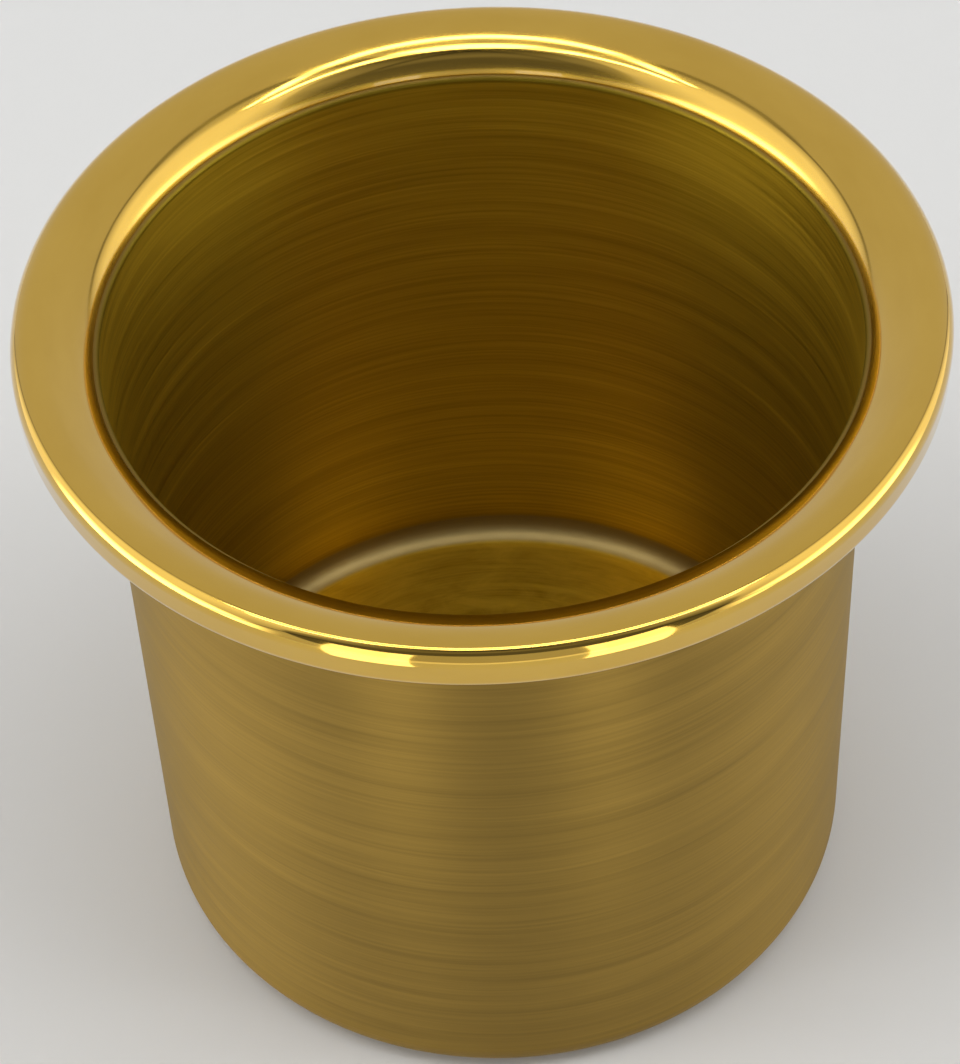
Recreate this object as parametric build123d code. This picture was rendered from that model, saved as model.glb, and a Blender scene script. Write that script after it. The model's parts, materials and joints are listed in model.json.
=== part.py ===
from build123d import *
import math
import os

# Drop-in brass cup: a drawn cup with a turned-out flange, and a rolled trim ring
# that stands on the flange and is curled under its outer edge.
# Millimetres. +Z is the cup's axis, pointing out of its mouth. The base stands on z = 0.

# Driving dimensions
TOTAL_H = 89.5          # base to crown of the rim
RIM_OUTER_R = 52.4      # widest radius of the rim
CROWN_R = 50.3          # radius of the rim's highest circle
RING_T = 0.5            # sheet of the trim ring
CURL_R = 1.4            # outer radius of the curl under the flange
LIP_INNER_R = 48.2      # where the curled lip ends
# The ring's upper face falls from the crown to its foot in tangent arcs:
# (radius of the arc, slope in degrees where it ends).
FACE_ARCS = ((5.6, 24.5), (17.5, 34.0), (6.9, 50.0), (3.3, 70.0))

CUP_INNER_R = 42.85     # inside of the wall
CUP_T = 0.5             # sheet of the wall and flange
FLANGE_TOP_Z = 85.15    # upper face of the flange, where the ring's foot stands
FLANGE_OUTER_R = 50.8   # edge of the flange, inside the ring
COVE_R = 3.0            # inside radius between wall and floor
FLOOR_Z = 4.6           # upper face of the floor
CORNER_R = 4.7          # outside radius between wall and base
RECESS_R = 34.0         # hollow under the base, at its mouth
RECESS_H = 2.2          # depth of that hollow
RECESS_SLOPE = 1.4      # width of its sloping side
RECESS_ROUND_R = 0.6    # rounding of the hollow's two edges


def polar(centre, radius, deg):
    """Point at an angle on a circle."""
    a = math.radians(deg)
    return (centre[0] + radius * math.cos(a), centre[1] + radius * math.sin(a))


def face_circles():
    """Centre, radius, first and last slope of each arc from the crown to the foot."""
    circles = []
    centre = (CROWN_R, TOTAL_H)
    radius = 0
    slope = 0
    for next_radius, next_slope in FACE_ARCS:
        centre = polar(centre, radius - next_radius, 90 + slope)
        circles.append((centre, next_radius, slope, next_slope))
        radius = next_radius
        slope = next_slope
    return circles


# Derived dimensions
FACE = face_circles()
RING_FOOT = polar(FACE[-1][0], FACE[-1][1], 90 + FACE[-1][3])
FLANGE_UNDER_Z = FLANGE_TOP_Z - CUP_T
BEND_R = RING_FOOT[0] - CUP_INNER_R
BEND_Z = FLANGE_TOP_Z - BEND_R
CUP_OUTER_R = CUP_INNER_R + CUP_T
CROWN_BEAD_R = RIM_OUTER_R - CROWN_R


def arc(centre, radius, start_deg, end_deg):
    """Arc about centre from one angle to another, in either direction."""
    return CenterArc(centre, radius, start_deg, end_deg - start_deg)


def turn(edges):
    """Solid of revolution about Z from a closed outline given as (radius, height)."""
    outline = make_face(Curve() + edges)
    return revolve(Plane.XZ * outline, axis=Axis.Z)


def make_cup_body():
    """Wall, cove, floor, rounded base and flange, turned as one piece."""
    bend = (RING_FOOT[0], BEND_Z)
    corner = (CUP_OUTER_R - CORNER_R, CORNER_R)
    cove = (CUP_INNER_R - COVE_R, FLOOR_Z + COVE_R)
    edges = [
        Line((0, RECESS_H), (RECESS_R - RECESS_SLOPE, RECESS_H)),
        Line((RECESS_R - RECESS_SLOPE, RECESS_H), (RECESS_R, 0)),
        Line((RECESS_R, 0), (corner[0], 0)),
        arc(corner, CORNER_R, -90, 0),
        Line((CUP_OUTER_R, corner[1]), (CUP_OUTER_R, BEND_Z)),
        arc(bend, BEND_R - CUP_T, 180, 90),
        Line((bend[0], FLANGE_UNDER_Z), (FLANGE_OUTER_R, FLANGE_UNDER_Z)),
        Line((FLANGE_OUTER_R, FLANGE_UNDER_Z), (FLANGE_OUTER_R, FLANGE_TOP_Z)),
        Line((FLANGE_OUTER_R, FLANGE_TOP_Z), (bend[0], FLANGE_TOP_Z)),
        arc(bend, BEND_R, 90, 180),
        Line((CUP_INNER_R, BEND_Z), (CUP_INNER_R, cove[1])),
        arc(cove, COVE_R, 0, -90),
        Line((cove[0], FLOOR_Z), (0, FLOOR_Z)),
        Line((0, FLOOR_Z), (0, RECESS_H)),
    ]
    cup = turn(edges)
    recess_edges = [
        e for e in cup.edges().filter_by(GeomType.CIRCLE)
        if e.center().Z < RECESS_H + 0.01 and abs(e.radius - RECESS_R) < RECESS_SLOPE + 0.01
    ]
    return fillet(recess_edges, RECESS_ROUND_R)


def make_rim_ring():
    """Sheet ring of one thickness: upper face, outer bead, outside wall, curl and lip."""
    bead = (CROWN_R, TOTAL_H - CROWN_BEAD_R)
    lip_z = FLANGE_UNDER_Z - RING_T
    curl = (RIM_OUTER_R - CURL_R, lip_z + CURL_R)
    foot = (RING_FOOT[0], FLANGE_TOP_Z)
    upper = [arc(c, r, 90 + low, 90 + high) for c, r, low, high in FACE]
    # The under face runs parallel to the upper one and stops where it meets the flange.
    last_centre, last_radius = FACE[-1][:2]
    heel_deg = math.degrees(math.acos((FLANGE_TOP_Z - last_centre[1]) / (last_radius - RING_T)))
    heel = polar(last_centre, last_radius - RING_T, 90 + heel_deg)
    ends = [high for c, r, low, high in FACE[:-1]] + [heel_deg]
    under = [
        arc(c, r - RING_T, 90 + low, 90 + high)
        for (c, r, low, old), high in zip(FACE, ends)
    ]
    edges = upper + under + [
        Line(RING_FOOT, foot),
        Line(foot, heel),
        arc(bead, CROWN_BEAD_R, 90, 0),
        Line((RIM_OUTER_R, bead[1]), (RIM_OUTER_R, curl[1])),
        arc(curl, CURL_R, 0, -90),
        Line((curl[0], lip_z), (LIP_INNER_R, lip_z)),
        Line((LIP_INNER_R, lip_z), (LIP_INNER_R, FLANGE_UNDER_Z)),
        Line((LIP_INNER_R, FLANGE_UNDER_Z), (curl[0], FLANGE_UNDER_Z)),
        arc(curl, CURL_R - RING_T, -90, 0),
        Line((RIM_OUTER_R - RING_T, curl[1]), (RIM_OUTER_R - RING_T, bead[1])),
        arc(bead, CROWN_BEAD_R - RING_T, 0, 90),
    ]
    return turn(edges)


os.makedirs("parts", exist_ok=True)
export_step(make_cup_body(), "parts/cup_body.step")
export_step(make_rim_ring(), "parts/rim_ring.step")
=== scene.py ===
import json
import math

import bpy
from mathutils import Matrix, Vector


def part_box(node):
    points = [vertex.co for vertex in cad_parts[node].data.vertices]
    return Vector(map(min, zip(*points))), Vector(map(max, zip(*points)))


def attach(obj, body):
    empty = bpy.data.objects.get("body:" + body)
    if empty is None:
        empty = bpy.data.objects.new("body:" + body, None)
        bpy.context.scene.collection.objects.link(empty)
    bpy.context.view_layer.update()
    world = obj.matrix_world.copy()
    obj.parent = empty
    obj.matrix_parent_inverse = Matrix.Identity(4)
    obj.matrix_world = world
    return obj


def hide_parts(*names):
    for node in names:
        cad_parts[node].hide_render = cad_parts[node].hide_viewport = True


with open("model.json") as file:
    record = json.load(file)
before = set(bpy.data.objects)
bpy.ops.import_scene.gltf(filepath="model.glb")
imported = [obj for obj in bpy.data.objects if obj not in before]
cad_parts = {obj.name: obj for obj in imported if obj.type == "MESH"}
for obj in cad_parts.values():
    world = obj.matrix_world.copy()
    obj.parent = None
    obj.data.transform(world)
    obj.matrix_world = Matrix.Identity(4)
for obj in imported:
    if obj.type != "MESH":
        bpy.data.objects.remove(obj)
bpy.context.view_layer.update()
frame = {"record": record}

MM = 0.001
SEGMENTS = 384
# Points nearer the axis than this share one vertex at the tip.
TIP_R = 1e-7

# ---------------------------------------------------------------- sizes read from the frame
mounts = {m["name"]: m for m in frame["record"]["mounts"]}
cup_lo, cup_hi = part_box("cup_body")
rim_lo, rim_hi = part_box("rim_ring")

TOP_Z = rim_hi.z
RIM_R = (rim_hi.x - rim_lo.x) / 2
FLANGE_Z = cup_hi.z
FLANGE_R = (cup_hi.x - cup_lo.x) / 2
LIP_Z = rim_lo.z
IN_R = mounts["cup_bore"]["dims"]["r_mm"] * MM
OUT_R = mounts["wall_shank"]["dims"]["r_mm"] * MM
half_bore = mounts["cup_bore"]["dims"]["length_mm"] * MM / 2
half_shank = mounts["wall_shank"]["dims"]["length_mm"] * MM / 2
BORE_LOW = mounts["cup_bore"]["pos_m"][2] - half_bore
BORE_HIGH = mounts["cup_bore"]["pos_m"][2] + half_bore
SHANK_LOW = mounts["wall_shank"]["pos_m"][2] - half_shank

SHEET = OUT_R - IN_R
BEND_R = FLANGE_Z - BORE_HIGH
FOOT_R = IN_R + BEND_R
CORNER_R = SHANK_LOW
COVE_R = 3.0 * MM
FLOOR_Z = BORE_LOW - COVE_R
RECESS_R = 34.0 * MM
RECESS_H = 2.2 * MM
RECESS_SLOPE = 1.4 * MM
RING_T = FLANGE_Z - SHEET - LIP_Z
CROWN_R = 50.3 * MM
CURL_R = 1.4 * MM
LIP_R = 48.2 * MM
# Radius and last slope of each arc of the rim's upper face, from the crown to the foot.
FACE_ARCS = (
    (5.6 * MM, 24.5),
    (17.5 * MM, 34.0),
    (6.9 * MM, 50.0),
    (3.3 * MM, 70.0),
)


# ---------------------------------------------------------------- turned meshes
def line(a, b):
    """One straight stretch of an outline, with its outward normal on the right-hand side."""
    dr, dz = b[0] - a[0], b[1] - a[1]
    size = math.hypot(dr, dz)
    n = (dz / size, -dr / size)
    return [(a, n), (b, n)]


def arc(centre, radius, start, end, steps, inside=False):
    """One arc of an outline. Its normals point away from the centre, or towards it."""
    made = []
    for i in range(steps + 1):
        a = math.radians(start + (end - start) * i / steps)
        c, s = math.cos(a), math.sin(a)
        n = (-c, -s) if inside else (c, s)
        made.append(((centre[0] + radius * c, centre[1] + radius * s), n))
    return made


def cut(stretch, longest):
    """A straight stretch divided so that no part is longer than this."""
    (a, n), (b, _) = stretch
    count = max(1, math.ceil(math.hypot(b[0] - a[0], b[1] - a[1]) / longest))
    return [
        ((a[0] + (b[0] - a[0]) * i / count, a[1] + (b[1] - a[1]) * i / count), n)
        for i in range(count + 1)
    ]


def turned(name, stretches):
    """A closed mesh turned about Z. Each stretch is a list of (point, normal) in (radius, height)."""
    points, verts, faces, normals = [], [], [], []
    index = {}

    def ring(p):
        key = (round(p[0], 8), round(p[1], 8))
        if key in index:
            return index[key]
        first = len(verts)
        if p[0] < TIP_R:
            verts.append((0.0, 0.0, p[1]))
            index[key] = (first, True)
        else:
            for i in range(SEGMENTS):
                a = 2 * math.pi * i / SEGMENTS
                verts.append((p[0] * math.cos(a), p[0] * math.sin(a), p[1]))
            index[key] = (first, False)
        return index[key]

    def spun(n, i):
        a = 2 * math.pi * i / SEGMENTS
        return (n[0] * math.cos(a), n[0] * math.sin(a), n[1])

    for stretch in stretches:
        for (p, n), (q, m) in zip(stretch, stretch[1:]):
            (i0, tip0), (i1, tip1) = ring(p), ring(q)
            for i in range(SEGMENTS):
                j = (i + 1) % SEGMENTS
                if tip0:
                    faces.append((i0, i1 + j, i1 + i))
                    normals += [(0, 0, n[1]), spun(m, j), spun(m, i)]
                elif tip1:
                    faces.append((i0 + i, i0 + j, i1))
                    normals += [spun(n, i), spun(n, j), (0, 0, m[1])]
                else:
                    faces.append((i0 + i, i0 + j, i1 + j, i1 + i))
                    normals += [spun(n, i), spun(n, j), spun(m, j), spun(m, i)]
    mesh = bpy.data.meshes.new(name)
    mesh.from_pydata(verts, [], faces)
    mesh.update()
    for f in mesh.polygons:
        f.use_smooth = True
    mesh.normals_split_custom_set(normals)
    obj = bpy.data.objects.new(name, mesh)
    bpy.context.scene.collection.objects.link(obj)
    return obj


def cup_outline():
    """The cup's closed section, run so that the metal lies on the left."""
    bend = (FOOT_R, BORE_HIGH)
    corner = (OUT_R - CORNER_R, CORNER_R)
    cove = (IN_R - COVE_R, FLOOR_Z + COVE_R)
    under = FLANGE_Z - SHEET
    inner = RECESS_R - RECESS_SLOPE
    return [
        cut(line((0, RECESS_H), (inner, RECESS_H)), 4 * MM),
        line((inner, RECESS_H), (RECESS_R, 0)),
        line((RECESS_R, 0), (corner[0], 0)),
        arc(corner, CORNER_R, -90, 0, 16),
        cut(line((OUT_R, CORNER_R), (OUT_R, BORE_HIGH)), 6 * MM),
        arc(bend, BEND_R - SHEET, 180, 90, 10, inside=True),
        line((FOOT_R, under), (FLANGE_R, under)),
        line((FLANGE_R, under), (FLANGE_R, FLANGE_Z)),
        line((FLANGE_R, FLANGE_Z), (FOOT_R, FLANGE_Z)),
        arc(bend, BEND_R, 90, 180, 14),
        cut(line((IN_R, BORE_HIGH), (IN_R, BORE_LOW)), 6 * MM),
        arc(cove, COVE_R, 0, -90, 18, inside=True),
        cut(line((cove[0], FLOOR_Z), (0, FLOOR_Z)), 4 * MM),
    ]


def polar(centre, radius, deg):
    """Point at an angle on a circle."""
    a = math.radians(deg)
    return (centre[0] + radius * math.cos(a), centre[1] + radius * math.sin(a))


def rim_outline():
    """The trim ring's closed section, run so that the metal lies on the left."""
    bead = RIM_R - CROWN_R
    top = (CROWN_R, TOP_Z - bead)
    curl = (RIM_R - CURL_R, LIP_Z + CURL_R)
    under = LIP_Z + RING_T
    upper, lower = [], []
    centre, radius, slope = (CROWN_R, TOP_Z), 0.0, 0.0
    for next_radius, next_slope in FACE_ARCS:
        centre = polar(centre, radius - next_radius, 90 + slope)
        last = next_slope == FACE_ARCS[-1][1]
        inner = next_radius - RING_T
        stop = math.degrees(math.acos((FLANGE_Z - centre[1]) / inner)) if last else next_slope
        upper.append(arc(centre, next_radius, 90 + slope, 90 + next_slope, 16))
        lower.append(arc(centre, inner, 90 + stop, 90 + slope, 8, inside=True))
        radius, slope = next_radius, next_slope
    foot = polar(centre, radius, 90 + slope)
    heel = polar(centre, radius - RING_T, 90 + stop)
    return [
        line((LIP_R, LIP_Z), (curl[0], LIP_Z)),
        arc(curl, CURL_R, -90, 0, 14),
        line((RIM_R, curl[1]), (RIM_R, top[1])),
        arc(top, bead, 0, 90, 28),
        *upper,
        line(foot, (foot[0], FLANGE_Z)),
        line((foot[0], FLANGE_Z), heel),
        *reversed(lower),
        arc(top, bead - RING_T, 90, 0, 16, inside=True),
        line((RIM_R - RING_T, top[1]), (RIM_R - RING_T, curl[1])),
        arc(curl, CURL_R - RING_T, 0, -90, 10, inside=True),
        line((curl[0], under), (LIP_R, under)),
        line((LIP_R, under), (LIP_R, LIP_Z)),
    ]


# ---------------------------------------------------------------- materials
def nodes_of(name):
    """A new material with its node tree and its shader."""
    mat = bpy.data.materials.new(name)
    mat.use_nodes = True
    tree = mat.node_tree
    shader = tree.nodes["Principled BSDF"]
    return mat, tree, shader


def add(tree, kind, **settings):
    """A new node with these settings."""
    node = tree.nodes.new(kind)
    for key, value in settings.items():
        setattr(node, key, value)
    return node


def maths(tree, operation, a, b=None):
    """One sum. Each term is a number or another node's output."""
    node = add(tree, "ShaderNodeMath", operation=operation)
    for i, value in enumerate((a, b)):
        if value is None:
            continue
        if isinstance(value, (int, float)):
            node.inputs[i].default_value = value
        else:
            tree.links.new(value, node.inputs[i])
    return node.outputs[0]


def round_coords(tree):
    """X, Y, height and radius of each surface point about the cup's axis."""
    coord = add(tree, "ShaderNodeTexCoord")
    split = add(tree, "ShaderNodeSeparateXYZ")
    tree.links.new(coord.outputs["Object"], split.inputs[0])
    x, y, z = split.outputs
    squares = maths(tree, "ADD", maths(tree, "MULTIPLY", x, x), maths(tree, "MULTIPLY", y, y))
    return x, y, z, maths(tree, "SQRT", squares)


# The brush lines' direction isn't worked out nearer the axis than this.
AXIS_R = 1e-5
NOISE_ROUGHNESS = 0.6


def brushed_noise(tree, along, across, scale, detail, distort=0.0):
    """Noise stretched round the axis: fast across the brush lines, slow along them."""
    x, y, z, radius = round_coords(tree)
    safe = maths(tree, "MAXIMUM", radius, AXIS_R)
    mix = add(tree, "ShaderNodeCombineXYZ")
    tree.links.new(maths(tree, "MULTIPLY", maths(tree, "DIVIDE", x, safe), along), mix.inputs[0])
    tree.links.new(maths(tree, "MULTIPLY", maths(tree, "DIVIDE", y, safe), along), mix.inputs[1])
    run = maths(tree, "ADD", z, radius)
    tree.links.new(maths(tree, "MULTIPLY", run, across), mix.inputs[2])
    noise = add(tree, "ShaderNodeTexNoise", noise_dimensions="3D")
    noise.inputs["Scale"].default_value = scale
    noise.inputs["Detail"].default_value = detail
    noise.inputs["Roughness"].default_value = NOISE_ROUGHNESS
    noise.inputs["Distortion"].default_value = distort
    tree.links.new(mix.outputs[0], noise.inputs["Vector"])
    return noise.outputs["Fac"]


def blend(tree, kind, factor, a, b):
    """Mix of two colours or two numbers. Each is a value or another node's output."""
    node = add(tree, "ShaderNodeMix", data_type=kind)
    tree.links.new(factor, node.inputs["Factor"])
    for name, value in (("A", a), ("B", b)):
        if isinstance(value, bpy.types.NodeSocket):
            tree.links.new(value, node.inputs[name])
        else:
            node.inputs[name].default_value = value
    return node.outputs["Result"]


def tinted(tree, factor, dark, light):
    """From the dark colour to the light one."""
    return blend(tree, "RGBA", factor, (*dark, 1), (*light, 1))


def ramp(tree, source, start, end, low, high):
    """Low before the start, high after the end, and even between them."""
    node = add(tree, "ShaderNodeMapRange", clamp=True)
    for key, value in (("From Min", start), ("From Max", end), ("To Min", low), ("To Max", high)):
        node.inputs[key].default_value = value
    tree.links.new(source, node.inputs["Value"])
    return node.outputs["Result"]


# Noise keeps mostly between these two values.
NOISE_LOW, NOISE_HIGH = 0.3, 0.7


def spread(tree, source, low, high):
    """Noise stretched to run from low to high."""
    return ramp(tree, source, NOISE_LOW, NOISE_HIGH, low, high)


def bumped(tree, shader, height, strength, distance):
    """Give the shader a bump of this strength and depth."""
    bump = add(tree, "ShaderNodeBump")
    bump.inputs["Strength"].default_value = strength
    bump.inputs["Distance"].default_value = distance
    tree.links.new(height, bump.inputs["Height"])
    tree.links.new(bump.outputs[0], shader.inputs["Normal"])


def brushed_brass():
    """Brushed round the axis, in one colour inside the cup and a darker, rougher one outside it; the
    outside's darker colour is painted shade for the darker surroundings the outer wall reflects.
    """
    mat, tree, shader = nodes_of("brushed_brass")
    shader.inputs["Metallic"].default_value = 1.0
    shader.inputs["Anisotropic"].default_value = 0.75
    shader.inputs["Anisotropic Rotation"].default_value = 0.25
    shader.inputs["Coat Weight"].default_value = 0.08
    shader.inputs["Coat Roughness"].default_value = 0.35
    rise, radius = round_coords(tree)[2:]
    # The outer face is whatever lies beyond the wall's middle or below the floor's upper face.
    outside = maths(tree, "MAXIMUM", ramp(tree, radius, IN_R + 0.1 * MM, OUT_R - 0.1 * MM, 0.0, 1.0),
                    ramp(tree, rise, FLOOR_Z - 0.4 * MM, FLOOR_Z - 0.2 * MM, 1.0, 0.0))
    fine = brushed_noise(tree, 1.3, 2600.0, 1.0, 3.0)
    broad = brushed_noise(tree, 0.9, 420.0, 1.0, 4.0)
    tone = maths(tree, "ADD", maths(tree, "MULTIPLY", fine, 0.6), maths(tree, "MULTIPLY", broad, 0.4))
    streak = spread(tree, tone, 0.0, 1.0)
    within = tinted(tree, streak, (0.345, 0.221, 0.010), (0.60, 0.391, 0.028))
    # The outer face's colours are painted darker than the inside's: painted shade standing in for the
    # darker surroundings it reflects.
    outside_shaded_tone = tinted(tree, streak, (0.225, 0.141, 0.025), (0.345, 0.221, 0.045))
    # Rubbed arcs on the floor, lighter than the metal round them.
    rubbed = maths(tree, "MULTIPLY", spread(tree, brushed_noise(tree, 4.0, 330.0, 1.0, 4.0, 0.6), 0.0, 0.9),
                   ramp(tree, rise, FLOOR_Z, FLOOR_Z + 0.1 * MM, 1.0, 0.0))
    within = blend(tree, "RGBA", rubbed, within, (0.72, 0.49, 0.045, 1))
    # The bend at the mouth, tucked under the rim's foot, is painted darker than the wall: painted shade
    # that keeps the bend from showing a highlight.
    bend = ramp(tree, rise, BORE_HIGH - 0.3 * MM, BORE_HIGH + 0.1 * MM, 0.0, 1.0)
    within = blend(tree, "RGBA", bend, within, (0.24, 0.165, 0.010, 1))
    both = blend(tree, "RGBA", outside, within, outside_shaded_tone)
    # The cove between wall and floor is rougher than the brushed metal round it, and painted a paler,
    # greyer brass: a painted reflection standing in for the pale ring of light it catches.
    cove = maths(tree, "MULTIPLY", ramp(tree, rise, FLOOR_Z, FLOOR_Z + 0.1 * MM, 0.0, 1.0),
                 ramp(tree, rise, FLOOR_Z + 2.5 * MM, FLOOR_Z + COVE_R, 1.0, 0.0))
    cove = maths(tree, "MULTIPLY", cove, ramp(tree, radius, IN_R + 0.1 * MM, OUT_R - 0.1 * MM, 0.75, 0.0))
    # The cove's paler tint is painted reflection.
    colour = blend(tree, "RGBA", cove, both, (0.31, 0.242, 0.125, 1))
    tree.links.new(colour, shader.inputs["Base Color"])
    wall_rough = ramp(tree, rise, FLOOR_Z + COVE_R, FLOOR_Z + 3 * COVE_R, 0.30, 0.44)
    sides = blend(tree, "FLOAT", outside, wall_rough, 0.52)
    rough = maths(tree, "ADD", sides, spread(tree, tone, -0.03, 0.05))
    rough = maths(tree, "ADD", rough, maths(tree, "MULTIPLY", cove, 0.10))
    tree.links.new(rough, shader.inputs["Roughness"])
    tangent = add(tree, "ShaderNodeTangent", direction_type="RADIAL", axis="Z")
    tree.links.new(tangent.outputs[0], shader.inputs["Tangent"])
    bumped(tree, shader, fine, 0.22, 0.00004)
    return mat


def polished_brass():
    """Polished and lightly coated, with small waves and fine turning marks."""
    mat, tree, shader = nodes_of("polished_brass")
    shader.inputs["Metallic"].default_value = 1.0
    shader.inputs["Coat Weight"].default_value = 1.0
    shader.inputs["Coat Roughness"].default_value = 0.04
    cloud = brushed_noise(tree, 3.0, 160.0, 1.0, 4.0)
    fine = brushed_noise(tree, 5.0, 1500.0, 1.0, 2.0)
    colour = tinted(tree, spread(tree, cloud, 0.0, 1.0), (0.68, 0.415, 0.042), (0.73, 0.455, 0.056))
    tree.links.new(colour, shader.inputs["Base Color"])
    # The polish fades into the brushed wall at the ring's foot.
    foot = ramp(tree, round_coords(tree)[3], FOOT_R + 0.1 * MM, FOOT_R + 1.2 * MM, 0.24, 0.0)
    tree.links.new(maths(tree, "ADD", spread(tree, fine, 0.05, 0.11), foot), shader.inputs["Roughness"])
    bumped(tree, shader, brushed_noise(tree, 3.5, 110.0, 1.0, 2.0), 1.0, 0.008 * MM)
    return mat


# ---------------------------------------------------------------- pieces
cup = turned("cup_body_turned", cup_outline())
rim = turned("rim_ring_turned", rim_outline())
cup.data.materials.append(brushed_brass())
rim.data.materials.append(polished_brass())
for piece, node, finish in ((cup, "cup_body", "brushed_brass"), (rim, "rim_ring", "polished_brass")):
    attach(piece, "root")
    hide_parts(node)


# ---------------------------------------------------------------- stage and lights
FLOOR_SIZE = 3.0
# The floor lies this far under the cup, so that the two faces don't coincide.
FLOOR_GAP = 0.05 * MM

floor_mat, floor_tree, floor_shader = nodes_of("pale_floor")
floor_shader.inputs["Base Color"].default_value = (0.80, 0.80, 0.79, 1)
floor_shader.inputs["Roughness"].default_value = 0.9
floor_shader.inputs["Specular IOR Level"].default_value = 0.1
bpy.ops.mesh.primitive_plane_add(size=FLOOR_SIZE, location=(0, 0, -FLOOR_GAP))
floor = bpy.context.active_object
floor.name = "floor"
floor.data.materials.append(floor_mat)


# The studio is a dome round the object: an even soft light with panels and a dark side.
# Directions are given as (azimuth, elevation) in degrees, with azimuth 90 straight behind the object.
def dome_direction(azimuth, elevation):
    """Unit vector towards a place on the dome."""
    a, e = math.radians(azimuth), math.radians(elevation)
    return Vector((math.cos(e) * math.cos(a), math.cos(e) * math.sin(a), math.sin(e)))


def dot(tree, coords, axis):
    """How far the direction points along an axis."""
    node = add(tree, "ShaderNodeVectorMath", operation="DOT_PRODUCT")
    tree.links.new(coords, node.inputs[0])
    node.inputs[1].default_value = axis
    return node.outputs["Value"]


def soft_edge(tree, distance, half, blur):
    """1 inside the half width, falling to 0 over the blur."""
    node = add(tree, "ShaderNodeMapRange", interpolation_type="SMOOTHSTEP")
    node.inputs["From Min"].default_value = half - blur / 2
    node.inputs["From Max"].default_value = half + blur / 2
    node.inputs["To Min"].default_value = 1.0
    node.inputs["To Max"].default_value = 0.0
    tree.links.new(distance, node.inputs["Value"])
    return node.outputs["Result"]


# A panel ends where its plane is seen nearly edge on.
LEAST_FACING, SHOWN_FACING = 0.02, 0.03


def panel(tree, coords, azimuth, elevation, half_wide, half_high, blur, oval=False):
    """Where the dome shows a panel: 1 inside and 0 outside, by tangents of angles off its centre."""
    centre = dome_direction(azimuth, elevation)
    side = Vector((0, 0, 1)).cross(centre).normalized()
    above = centre.cross(side)
    facing = dot(tree, coords, centre)
    safe = maths(tree, "MAXIMUM", facing, LEAST_FACING)
    u = maths(tree, "ABSOLUTE", maths(tree, "DIVIDE", dot(tree, coords, side), safe))
    v = maths(tree, "ABSOLUTE", maths(tree, "DIVIDE", dot(tree, coords, above), safe))
    if oval:
        u = maths(tree, "DIVIDE", u, half_wide)
        v = maths(tree, "DIVIDE", v, half_high)
        squares = maths(tree, "ADD", maths(tree, "MULTIPLY", u, u), maths(tree, "MULTIPLY", v, v))
        shape = soft_edge(tree, maths(tree, "SQRT", squares), 1.0, blur)
    else:
        across = soft_edge(tree, u, half_wide, blur)
        shape = maths(tree, "MULTIPLY", across, soft_edge(tree, v, half_high, blur))
    return maths(tree, "MULTIPLY", shape, maths(tree, "GREATER_THAN", facing, SHOWN_FACING))


BASE_LIGHT = 0.62
# azimuth, elevation, half width, half height, blur, added strength
PANELS = (
    (-90, 83, 0.68, 0.024, 0.012, 6.0),
    (-90, 75, 0.68, 0.030, 0.012, 6.0),
    (-165, 0, 0.46, 0.32, 0.30, 4.2),
    (-14, 0, 0.46, 0.32, 0.30, 2.4),
)
# azimuth, elevation, half width, half height, blur, share of the light taken away
SHADES = (
    (-86, 36, 0.92, 0.74, 0.06, 0.80),
)
# A broad bright wall on each side, bounded above by a slanting edge with a dark line along it.
WALL_EDGE = Vector((0.547, -0.7315, -0.407))
WALL_LIGHT = 0.70

# The dark line's distance outside the edge, half width, blur, and share of the light taken away.
SEAM_PLACE, SEAM_HALF, SEAM_BLUR, SEAM_SHARE = 0.10, 0.02, 0.02, 0.55

world = bpy.data.worlds.new("studio")
world.use_nodes = True
bpy.context.scene.world = world
dome = world.node_tree
coords = add(dome, "ShaderNodeTexCoord").outputs["Generated"]
light = BASE_LIGHT
for azimuth, elevation, wide, high, blur, share in SHADES:
    shade = panel(dome, coords, azimuth, elevation, wide, high, blur, oval=True)
    kept = maths(dome, "SUBTRACT", 1.0, maths(dome, "MULTIPLY", shade, share))
    light = maths(dome, "MULTIPLY", light, kept)
for azimuth, elevation, wide, high, blur, strength in PANELS:
    shape = panel(dome, coords, azimuth, elevation, wide, high, blur)
    light = maths(dome, "ADD", light, maths(dome, "MULTIPLY", shape, strength))
# Each wall stops at the horizon and fades towards the front and the top of the dome.
above = ramp(dome, dot(dome, coords, (0, 0, 1)), -0.12, -0.04, 0.0, 1.0)
for flip in (1, -1):
    past = dot(dome, coords, (flip * WALL_EDGE.x, WALL_EDGE.y, WALL_EDGE.z))
    bright = ramp(dome, past, -0.09, 0.06, 0.0, WALL_LIGHT)
    fade = ramp(dome, dot(dome, coords, (0, -1, 0)), 0.25, 0.60, 1.0, 0.0)
    low = ramp(dome, dot(dome, coords, (0, 0, 1)), 0.78, 0.92, 1.0, 0.0)
    low = maths(dome, "MULTIPLY", low, above)
    wall = maths(dome, "MULTIPLY", maths(dome, "MULTIPLY", bright, fade), low)
    light = maths(dome, "ADD", light, wall)
    off = maths(dome, "ABSOLUTE", maths(dome, "ADD", past, SEAM_PLACE))
    seam = soft_edge(dome, off, SEAM_HALF, SEAM_BLUR)
    kept = maths(dome, "SUBTRACT", 1.0, maths(dome, "MULTIPLY", seam, SEAM_SHARE))
    light = maths(dome, "MULTIPLY", light, kept)
backdrop = dome.nodes["Background"]
backdrop.inputs["Color"].default_value = (1, 1, 1, 1)
dome.links.new(light, backdrop.inputs["Strength"])

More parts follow.
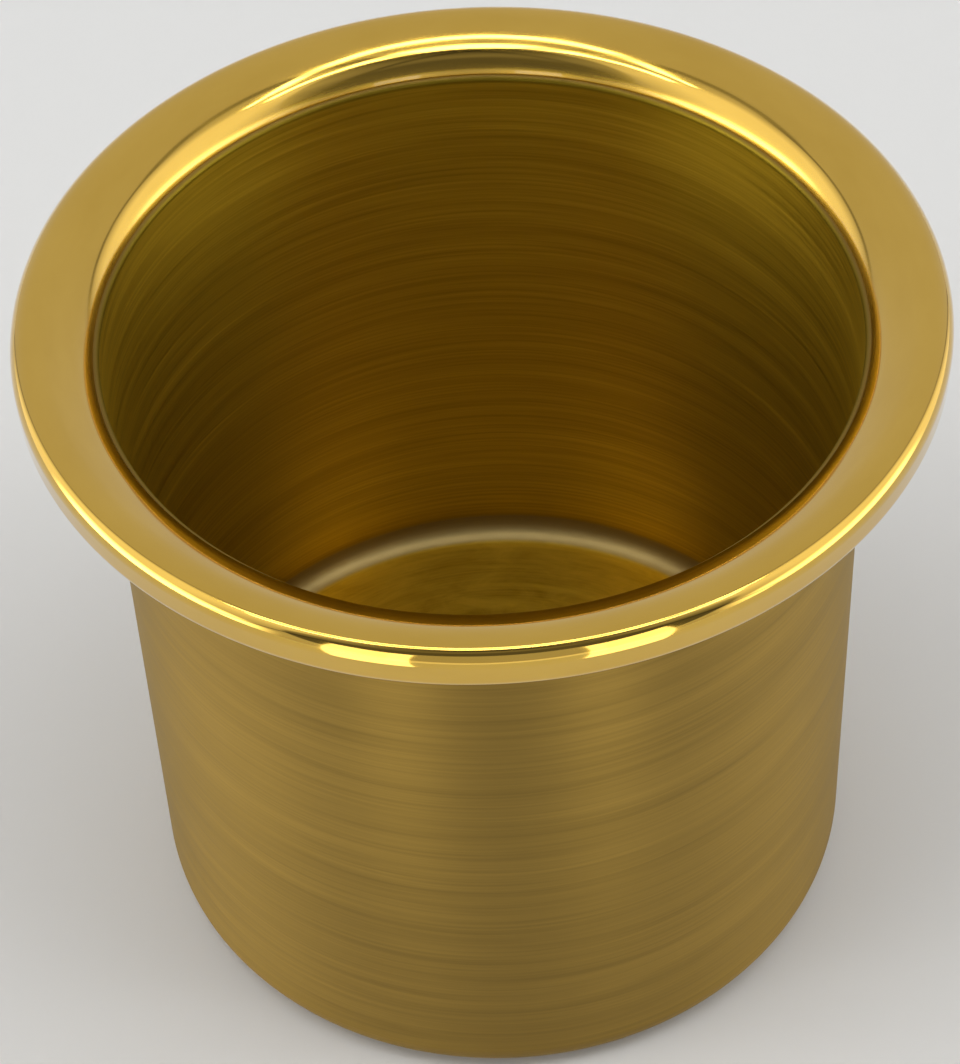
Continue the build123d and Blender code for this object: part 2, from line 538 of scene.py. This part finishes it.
# Low cards in front of the cup, seen in the near side of the rim and hidden from the camera.
# Place in rim radii from the centre of the rim's top plane, width and height in rim radii, strength.
CARDS = (
    ((-0.80, -2.05, -0.10), (0.56, 1.80), 2.2),
    ((0.84, -2.05, -0.10), (0.56, 1.80), 2.2),
    ((0.0, -2.40, 0.42), (1.60, 1.35), 0.40),
)
for number, (place, (wide, high), strength) in enumerate(CARDS):
    card = bpy.data.lights.new(f"card_{number}", "AREA")
    card.shape = "RECTANGLE"
    card.size, card.size_y = wide * RIM_R, high * RIM_R
    card.energy = strength * math.pi * card.size * card.size_y
    stand = bpy.data.objects.new(f"card_{number}", card)
    bpy.context.scene.collection.objects.link(stand)
    stand.location = Vector(place) * RIM_R + Vector((0, 0, TOP_Z))
    toward = Vector((0, 0, stand.location.z)) - stand.location
    stand.rotation_euler = toward.to_track_quat("-Z", "Y").to_euler()
    stand.visible_camera = False
    stand.visible_diffuse = False

# ---------------------------------------------------------------- camera
# Distances in the camera's placing are in rim radii, from the centre of the rim's top plane.
DISTANCE, ELEVATION = 6.9018, 0.7574
PAN, TILT, ROLL = 0.0033, -0.0724, 0.0470
SENSOR_MM = 36.0
FRAME_HEIGHT = 1064.0
FOCAL_IN_FRAME = 3250.0
LENS_MM = FOCAL_IN_FRAME * SENSOR_MM / FRAME_HEIGHT

eye = Vector((0, -DISTANCE * math.cos(ELEVATION), DISTANCE * math.sin(ELEVATION)))
ahead = -eye.normalized()
right = ahead.cross(Vector((0, 0, 1))).normalized()
up = right.cross(ahead)
look = Matrix((right, up, ahead))
c, s = math.cos(PAN), math.sin(PAN)
turn_y = Matrix(((c, 0, s), (0, 1, 0), (-s, 0, c)))
c, s = math.cos(TILT), math.sin(TILT)
turn_x = Matrix(((1, 0, 0), (0, c, -s), (0, s, c)))
c, s = math.cos(ROLL), math.sin(ROLL)
turn_z = Matrix(((c, -s, 0), (s, c, 0), (0, 0, 1)))
rows = turn_z @ turn_x @ turn_y @ look

lens = bpy.data.cameras.new("camera")
lens.lens = LENS_MM
lens.sensor_width = SENSOR_MM
lens.clip_start, lens.clip_end = 0.01, 20.0
camera = bpy.data.objects.new("camera", lens)
bpy.context.scene.collection.objects.link(camera)
pose = Matrix((rows[0], rows[1], -rows[2])).transposed().to_4x4()
pose.translation = eye * RIM_R + Vector((0, 0, TOP_Z))
camera.matrix_world = pose
bpy.context.scene.camera = camera
bpy.context.scene.view_settings.view_transform = "Standard"
